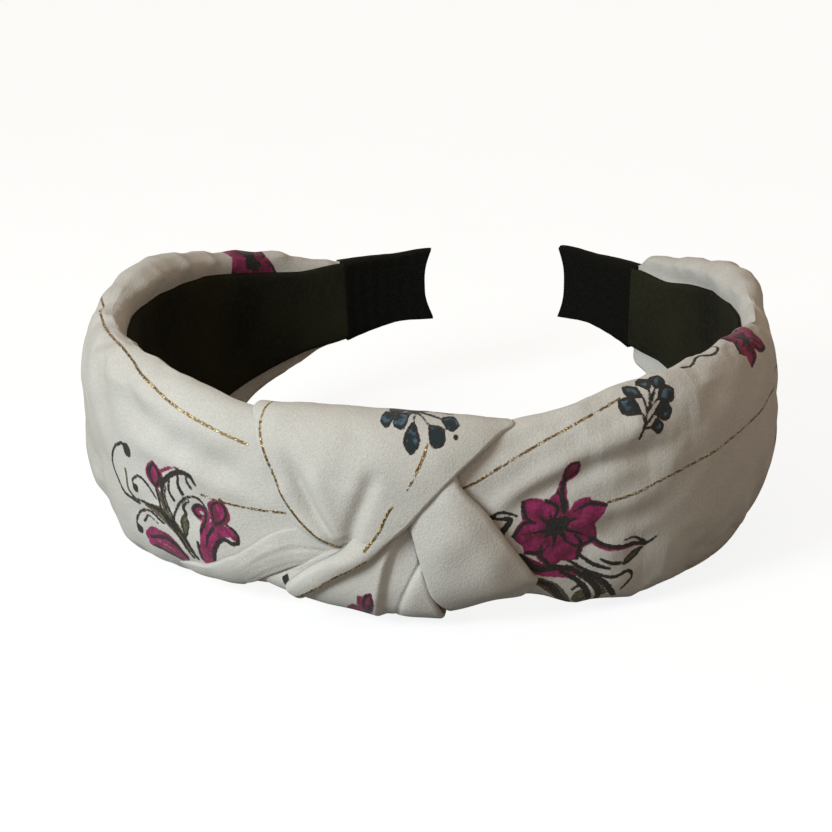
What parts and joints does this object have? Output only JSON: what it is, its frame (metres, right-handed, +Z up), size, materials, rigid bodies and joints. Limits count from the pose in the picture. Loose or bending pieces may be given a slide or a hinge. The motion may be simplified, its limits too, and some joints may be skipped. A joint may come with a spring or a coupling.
{
  "type": "knotted headband",
  "caption": "Padded fabric headband, open at the back, with a twisted knot at the front and tapered sprung arms.",
  "frame": {"origin": "middle of the base of the whole headband, lying on its lower long edge", "axes": "+X across the head, +Y from the knot towards the two tips, +Z up through the open hoop"},
  "size_m": [0.1528, 0.1434, 0.0495],
  "materials": {
    "printed_fabric": "matt crepe weave with gold thread stripes and a floral print",
    "lining": "matt brushed ribbon",
    "ribbon": "fine ribbed ribbon",
    "core": "plain moulded strip",
    "foam": "open-cell foam"
  },
  "bodies": {
    "crown": {"core_crown": "core", "knot_wadding": "foam", "wing_left_tuck": "printed_fabric", "wing_right_tuck": "printed_fabric", "wing_pleat": "printed_fabric", "knot_front_strap": "printed_fabric", "knot_lower_strap": "printed_fabric", "knot_lower_fold": "printed_fabric", "lining_crown": "lining"},
    "arm_left": {"core_arm_left": "core", "foam_left": "foam", "wing_left": "printed_fabric", "lining_left": "lining", "tip_wrap_left": "ribbon"},
    "arm_right": {"core_arm_right": "core", "foam_right": "foam", "wing_right": "printed_fabric", "lining_right": "lining", "tip_wrap_right": "ribbon"}
  },
  "joints": [
    {"name": "left_arm_flex", "type": "hinge", "parent": "crown", "child": "arm_left", "pos_m": [-0.0406, -0.0581, 0.0245], "axis": [0, 0, 1], "range_deg": [0, 15], "stiffness_Nm_per_rad": 1.5},
    {"name": "right_arm_flex", "type": "hinge", "parent": "crown", "child": "arm_right", "pos_m": [0.0406, -0.0581, 0.0245], "axis": [0, 0, -1], "range_deg": [0, 15], "stiffness_Nm_per_rad": 1.5}
  ]
}
